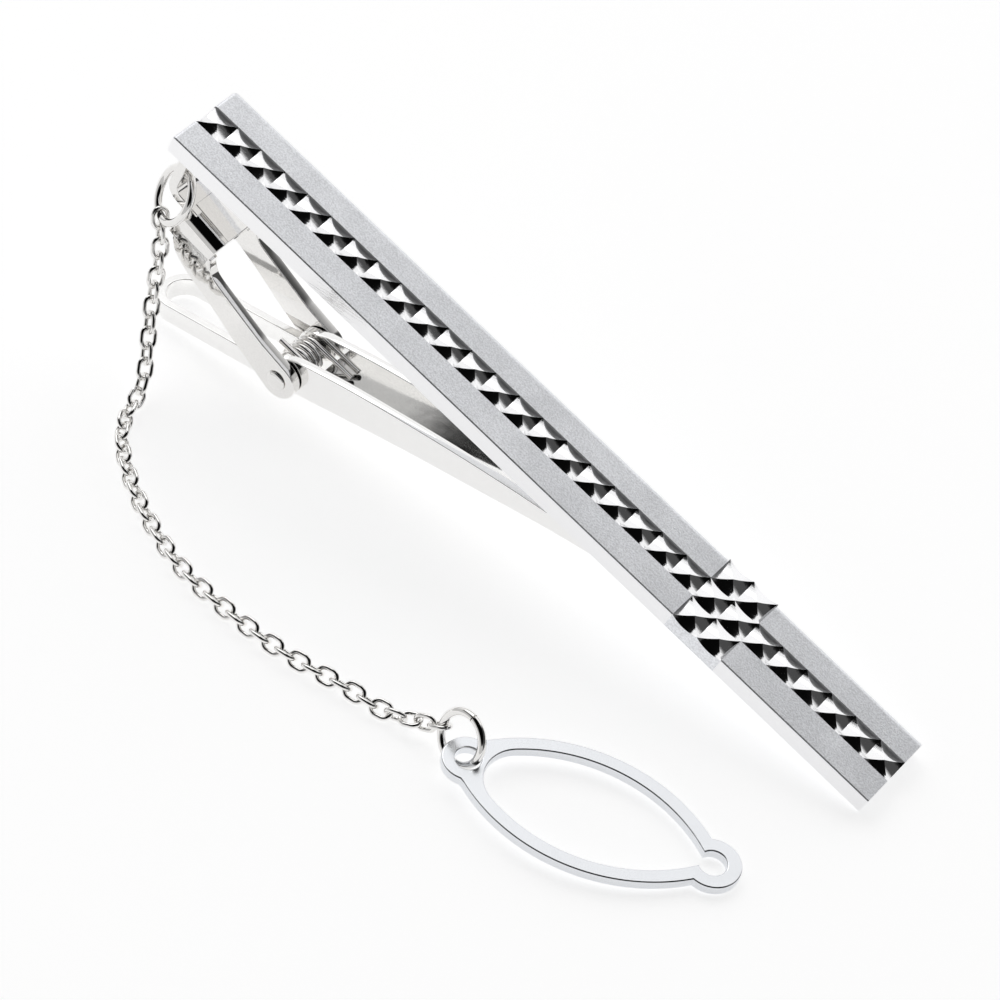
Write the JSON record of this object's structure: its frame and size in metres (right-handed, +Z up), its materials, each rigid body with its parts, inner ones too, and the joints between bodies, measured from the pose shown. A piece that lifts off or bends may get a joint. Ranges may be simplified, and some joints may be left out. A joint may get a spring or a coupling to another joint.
{
  "type": "tie bar with clip and chain",
  "caption": "Slim metal tie bar with a pyramid-studded top, a sprung clip lever below, and a fine chain ending in a flat loop for a shirt button.",
  "frame": {"origin": "centre of the bounding box in X and Y, at the table the object lies on", "axes": "+X horizontal along the bar, from the clip end to its free end; +Y across, from the chain's side to the bar's side; +Z up. The bar lies tilted 16 degrees, clip end high, on its free end and the finger end of its lever"},
  "size_m": [0.0578, 0.0224, 0.0175],
  "materials": {
    "satin_metal": "satin rhodium-coloured plating",
    "polished_metal": "polished rhodium-coloured plating"
  },
  "bodies": {
    "clip": {"bar": "satin_metal", "clip_bracket": "polished_metal", "hinge_pin": "polished_metal"},
    "lever": {"clip_lever": "polished_metal", "torsion_spring": "polished_metal"},
    "upper_ring": {"upper_jump_ring": "polished_metal"},
    "link_01": {"chain_link_01": "polished_metal"},
    "link_02": {"chain_link_02": "polished_metal"},
    "link_03": {"chain_link_03": "polished_metal"},
    "link_04": {"chain_link_04": "polished_metal"},
    "link_05": {"chain_link_05": "polished_metal"},
    "link_06": {"chain_link_06": "polished_metal"},
    "link_07": {"chain_link_07": "polished_metal"},
    "link_08": {"chain_link_08": "polished_metal"},
    "link_09": {"chain_link_09": "polished_metal"},
    "link_10": {"chain_link_10": "polished_metal"},
    "link_11": {"chain_link_11": "polished_metal"},
    "link_12": {"chain_link_12": "polished_metal"},
    "link_13": {"chain_link_13": "polished_metal"},
    "link_14": {"chain_link_14": "polished_metal"},
    "link_15": {"chain_link_15": "polished_metal"},
    "link_16": {"chain_link_16": "polished_metal"},
    "link_17": {"chain_link_17": "polished_metal"},
    "link_18": {"chain_link_18": "polished_metal"},
    "link_19": {"chain_link_19": "polished_metal"},
    "link_20": {"chain_link_20": "polished_metal"},
    "link_21": {"chain_link_21": "polished_metal"},
    "link_22": {"chain_link_22": "polished_metal"},
    "link_23": {"chain_link_23": "polished_metal"},
    "link_24": {"chain_link_24": "polished_metal"},
    "link_25": {"chain_link_25": "polished_metal"},
    "link_26": {"chain_link_26": "polished_metal"},
    "link_27": {"chain_link_27": "polished_metal"},
    "link_28": {"chain_link_28": "polished_metal"},
    "link_29": {"chain_link_29": "polished_metal"},
    "link_30": {"chain_link_30": "polished_metal"},
    "link_31": {"chain_link_31": "polished_metal"},
    "link_32": {"chain_link_32": "polished_metal"},
    "link_33": {"chain_link_33": "polished_metal"},
    "link_34": {"chain_link_34": "polished_metal"},
    "link_35": {"chain_link_35": "polished_metal"},
    "link_36": {"chain_link_36": "polished_metal"},
    "link_37": {"chain_link_37": "polished_metal"},
    "link_38": {"chain_link_38": "polished_metal"},
    "link_39": {"chain_link_39": "polished_metal"},
    "link_40": {"chain_link_40": "polished_metal"},
    "link_41": {"chain_link_41": "polished_metal"},
    "link_42": {"chain_link_42": "polished_metal"},
    "link_43": {"chain_link_43": "polished_metal"},
    "link_44": {"chain_link_44": "polished_metal"},
    "link_45": {"chain_link_45": "polished_metal"},
    "link_46": {"chain_link_46": "polished_metal"},
    "link_47": {"chain_link_47": "polished_metal"},
    "link_48": {"chain_link_48": "polished_metal"},
    "lower_ring": {"lower_jump_ring": "polished_metal"},
    "loop": {"button_loop": "satin_metal"}
  },
  "joints": [
    {"name": "lever_hinge", "type": "hinge", "parent": "clip", "child": "lever", "pos_m": [-0.01737, 0.00822, 0.00258], "axis": [0, 1, 0], "range_deg": [0, 25], "stiffness_Nm_per_rad": 0.05, "springref_deg": -28.65, "deforming": ["torsion_spring"]},
    {"name": "upper_ring_turn", "type": "hinge", "parent": "clip", "child": "upper_ring", "pos_m": [-0.02706, 0.00622, 0.01165], "axis": [-0.4585, -0.7509, 0.4754], "range_deg": [-25, 5]},
    {"name": "link_01_hinge", "type": "hinge", "parent": "upper_ring", "child": "link_01", "pos_m": [-0.02751, 0.0055, 0.01009], "axis": [0.7893, -0.4419, 0.4263], "range_deg": [-30, 5]},
    {"name": "link_02_hinge", "type": "hinge", "parent": "link_01", "child": "link_02", "pos_m": [-0.02722, 0.00526, 0.00932], "axis": [-0.5033, -0.8602, 0.0826], "range_deg": [-30, 30]},
    {"name": "link_03_hinge", "type": "hinge", "parent": "link_02", "child": "link_03", "pos_m": [-0.02691, 0.00497, 0.00843], "axis": [-0.8128, 0.4171, -0.4066], "range_deg": [-30, 30]},
    {"name": "link_04_hinge", "type": "hinge", "parent": "link_03", "child": "link_04", "pos_m": [-0.02665, 0.00464, 0.00755], "axis": [0.5113, 0.831, -0.2192], "range_deg": [-30, 30]},
    {"name": "link_05_hinge", "type": "hinge", "parent": "link_04", "child": "link_05", "pos_m": [-0.02645, 0.00428, 0.00665], "axis": [0.8437, -0.4045, 0.3528], "range_deg": [-30, 30]},
    {"name": "link_06_hinge", "type": "hinge", "parent": "link_05", "child": "link_06", "pos_m": [-0.02626, 0.00389, 0.00577], "axis": [-0.489, -0.8292, 0.2708], "range_deg": [-30, 30]},
    {"name": "link_07_hinge", "type": "hinge", "parent": "link_06", "child": "link_07", "pos_m": [-0.026, 0.00346, 0.00492], "axis": [-0.8147, 0.2892, -0.5026], "range_deg": [-15, 30]},
    {"name": "link_08_hinge", "type": "hinge", "parent": "link_07", "child": "link_08", "pos_m": [-0.02567, 0.00299, 0.00413], "axis": [0.4662, 0.8258, -0.3174], "range_deg": [-30, 30]},
    {"name": "link_09_hinge", "type": "hinge", "parent": "link_08", "child": "link_09", "pos_m": [-0.02529, 0.00248, 0.00338], "axis": [0.7943, -0.2066, 0.5713], "range_deg": [-30, 10]},
    {"name": "link_10_hinge", "type": "hinge", "parent": "link_09", "child": "link_10", "pos_m": [-0.0249, 0.00196, 0.00265], "axis": [-0.4399, -0.8299, 0.3431], "range_deg": [-30, 30]},
    {"name": "link_11_hinge", "type": "hinge", "parent": "link_10", "child": "link_11", "pos_m": [-0.0245, 0.00143, 0.00192], "axis": [-0.7905, 0.1512, -0.5935], "range_deg": [-10, 30]},
    {"name": "link_12_hinge", "type": "hinge", "parent": "link_11", "child": "link_12", "pos_m": [-0.02412, 0.0008, 0.00127], "axis": [0.5332, 0.6442, -0.5484], "range_deg": [-30, 30]},
    {"name": "link_13_hinge", "type": "hinge", "parent": "link_12", "child": "link_13", "pos_m": [-0.02377, 0.00003, 0.00078], "axis": [0.7216, 0.0209, 0.692], "range_deg": [-30, 15]},
    {"name": "link_14_hinge", "type": "hinge", "parent": "link_13", "child": "link_14", "pos_m": [-0.02351, -0.00089, 0.00057], "axis": [-0.6562, -0.2982, 0.6931], "range_deg": [-30, 10]},
    {"name": "link_15_hinge", "type": "hinge", "parent": "link_14", "child": "link_15", "pos_m": [-0.02314, -0.0018, 0.00052], "axis": [-0.6142, -0.3261, -0.7186], "range_deg": [-30, 30]},
    {"name": "link_16_hinge", "type": "hinge", "parent": "link_15", "child": "link_16", "pos_m": [-0.02267, -0.00266, 0.00053], "axis": [0.5885, 0.4106, -0.6965], "range_deg": [-10, 30]},
    {"name": "link_17_hinge", "type": "hinge", "parent": "link_16", "child": "link_17", "pos_m": [-0.02207, -0.00343, 0.00054], "axis": [0.4922, 0.4927, 0.7177], "range_deg": [-30, 30]},
    {"name": "link_18_hinge", "type": "hinge", "parent": "link_17", "child": "link_18", "pos_m": [-0.02136, -0.00411, 0.00054], "axis": [-0.4558, -0.5544, 0.6963], "range_deg": [-30, 15]},
    {"name": "link_19_hinge", "type": "hinge", "parent": "link_18", "child": "link_19", "pos_m": [-0.0206, -0.00473, 0.00054], "axis": [-0.4148, -0.5593, -0.7177], "range_deg": [-30, 30]},
    {"name": "link_20_hinge", "type": "hinge", "parent": "link_19", "child": "link_20", "pos_m": [-0.0198, -0.00531, 0.00054], "axis": [0.4022, 0.5945, -0.6963], "range_deg": [-30, 30]},
    {"name": "link_21_hinge", "type": "hinge", "parent": "link_20", "child": "link_21", "pos_m": [-0.01898, -0.00585, 0.00054], "axis": [0.3654, 0.5927, 0.7178], "range_deg": [-30, 30]},
    {"name": "link_22_hinge", "type": "hinge", "parent": "link_21", "child": "link_22", "pos_m": [-0.01814, -0.00636, 0.00054], "axis": [-0.3506, -0.6263, 0.6963], "range_deg": [-30, 30]},
    {"name": "link_23_hinge", "type": "hinge", "parent": "link_22", "child": "link_23", "pos_m": [-0.01728, -0.00683, 0.00054], "axis": [-0.3125, -0.6222, -0.7178], "range_deg": [-30, 30]},
    {"name": "link_24_hinge", "type": "hinge", "parent": "link_23", "child": "link_24", "pos_m": [-0.0164, -0.00727, 0.00054], "axis": [0.3007, 0.6518, -0.6963], "range_deg": [-30, 30]},
    {"name": "link_25_hinge", "type": "hinge", "parent": "link_24", "child": "link_25", "pos_m": [-0.01551, -0.00768, 0.00054], "axis": [0.2696, 0.642, 0.7178], "range_deg": [-30, 30]},
    {"name": "link_26_hinge", "type": "hinge", "parent": "link_25", "child": "link_26", "pos_m": [-0.0146, -0.00805, 0.00054], "axis": [-0.2511, -0.6724, 0.6963], "range_deg": [-30, 30]},
    {"name": "link_27_hinge", "type": "hinge", "parent": "link_26", "child": "link_27", "pos_m": [-0.01367, -0.00839, 0.00054], "axis": [-0.2119, -0.6632, -0.7178], "range_deg": [-30, 30]},
    {"name": "link_28_hinge", "type": "hinge", "parent": "link_27", "child": "link_28", "pos_m": [-0.01273, -0.00868, 0.00054], "axis": [0.1773, 0.6956, -0.6962], "range_deg": [-30, 30]},
    {"name": "link_29_hinge", "type": "hinge", "parent": "link_28", "child": "link_29", "pos_m": [-0.01178, -0.00891, 0.00054], "axis": [0.1304, 0.6839, 0.7178], "range_deg": [-30, 30]},
    {"name": "link_30_hinge", "type": "hinge", "parent": "link_29", "child": "link_30", "pos_m": [-0.01081, -0.00908, 0.00054], "axis": [-0.1018, -0.7106, 0.6962], "range_deg": [-30, 30]},
    {"name": "link_31_hinge", "type": "hinge", "parent": "link_30", "child": "link_31", "pos_m": [-0.00984, -0.00922, 0.00054], "axis": [-0.0759, -0.692, -0.7179], "range_deg": [-30, 30]},
    {"name": "link_32_hinge", "type": "hinge", "parent": "link_31", "child": "link_32", "pos_m": [-0.00886, -0.00932, 0.00054], "axis": [0.0643, 0.715, -0.6962], "range_deg": [-30, 30]},
    {"name": "link_33_hinge", "type": "hinge", "parent": "link_32", "child": "link_33", "pos_m": [-0.00788, -0.0094, 0.00054], "axis": [0.0482, 0.6945, 0.7179], "range_deg": [-30, 30]},
    {"name": "link_34_hinge", "type": "hinge", "parent": "link_33", "child": "link_34", "pos_m": [-0.0069, -0.00947, 0.00054], "axis": [-0.0305, -0.7172, 0.6962], "range_deg": [-30, 30]},
    {"name": "link_35_hinge", "type": "hinge", "parent": "link_34", "child": "link_35", "pos_m": [-0.00592, -0.0095, 0.00054], "axis": [-0.0099, -0.6961, -0.7179], "range_deg": [-30, 30]},
    {"name": "link_36_hinge", "type": "hinge", "parent": "link_35", "child": "link_36", "pos_m": [-0.00493, -0.00951, 0.00054], "axis": [-0.0116, 0.7178, -0.6962], "range_deg": [-30, 30]},
    {"name": "link_37_hinge", "type": "hinge", "parent": "link_36", "child": "link_37", "pos_m": [-0.00395, -0.00949, 0.00054], "axis": [-0.0366, 0.6952, 0.7179], "range_deg": [-30, 30]},
    {"name": "link_38_hinge", "type": "hinge", "parent": "link_37", "child": "link_38", "pos_m": [-0.00297, -0.00943, 0.00054], "axis": [0.077, -0.7138, 0.6961], "range_deg": [-30, 30]},
    {"name": "link_39_hinge", "type": "hinge", "parent": "link_38", "child": "link_39", "pos_m": [-0.00199, -0.00932, 0.00054], "axis": [0.0948, -0.6896, -0.7179], "range_deg": [-30, 30]},
    {"name": "link_40_hinge", "type": "hinge", "parent": "link_39", "child": "link_40", "pos_m": [-0.00102, -0.00918, 0.00054], "axis": [-0.1005, 0.7108, -0.6961], "range_deg": [-30, 30]},
    {"name": "link_41_hinge", "type": "hinge", "parent": "link_40", "child": "link_41", "pos_m": [-0.00005, -0.00905, 0.00054], "axis": [-0.0796, 0.6916, 0.7179], "range_deg": [-30, 30]},
    {"name": "link_42_hinge", "type": "hinge", "parent": "link_41", "child": "link_42", "pos_m": [0.00093, -0.00895, 0.00054], "axis": [0.0692, -0.7139, 0.6968], "range_deg": [-30, 30]},
    {"name": "link_43_hinge", "type": "hinge", "parent": "link_42", "child": "link_43", "pos_m": [0.00191, -0.00888, 0.00051], "axis": [0.0288, -0.6967, -0.7168], "range_deg": [-30, 30]},
    {"name": "link_44_hinge", "type": "hinge", "parent": "link_43", "child": "link_44", "pos_m": [0.00289, -0.00881, 0.0005], "axis": [-0.0085, 0.5163, -0.8564], "range_deg": [-30, 30]},
    {"name": "link_45_hinge", "type": "hinge", "parent": "link_44", "child": "link_45", "pos_m": [0.00386, -0.00868, 0.00058], "axis": [-0.2476, 0.9338, 0.2585], "range_deg": [-30, 30]},
    {"name": "link_46_hinge", "type": "hinge", "parent": "link_45", "child": "link_46", "pos_m": [0.0048, -0.00847, 0.00078], "axis": [-0.2487, -0.0625, 0.9666], "range_deg": [-30, 30]},
    {"name": "link_47_hinge", "type": "hinge", "parent": "link_46", "child": "link_47", "pos_m": [0.00572, -0.00824, 0.00104], "axis": [0.1221, -0.9661, 0.2276], "range_deg": [-30, 30]},
    {"name": "link_48_hinge", "type": "hinge", "parent": "link_47", "child": "link_48", "pos_m": [0.00662, -0.00805, 0.00138], "axis": [0.4213, -0.4013, -0.8133], "range_deg": [-30, 30]},
    {"name": "lower_ring_hinge", "type": "hinge", "parent": "link_48", "child": "lower_ring", "pos_m": [0.00751, -0.00787, 0.00175], "axis": [-0.2222, -0.8897, 0.3988], "range_deg": [-10, 30]},
    {"name": "loop_hinge", "type": "hinge", "parent": "lower_ring", "child": "loop", "pos_m": [0.00862, -0.00818, 0.00195], "axis": [-0.2222, -0.8897, 0.3988], "range_deg": [-25, 25]}
  ]
}
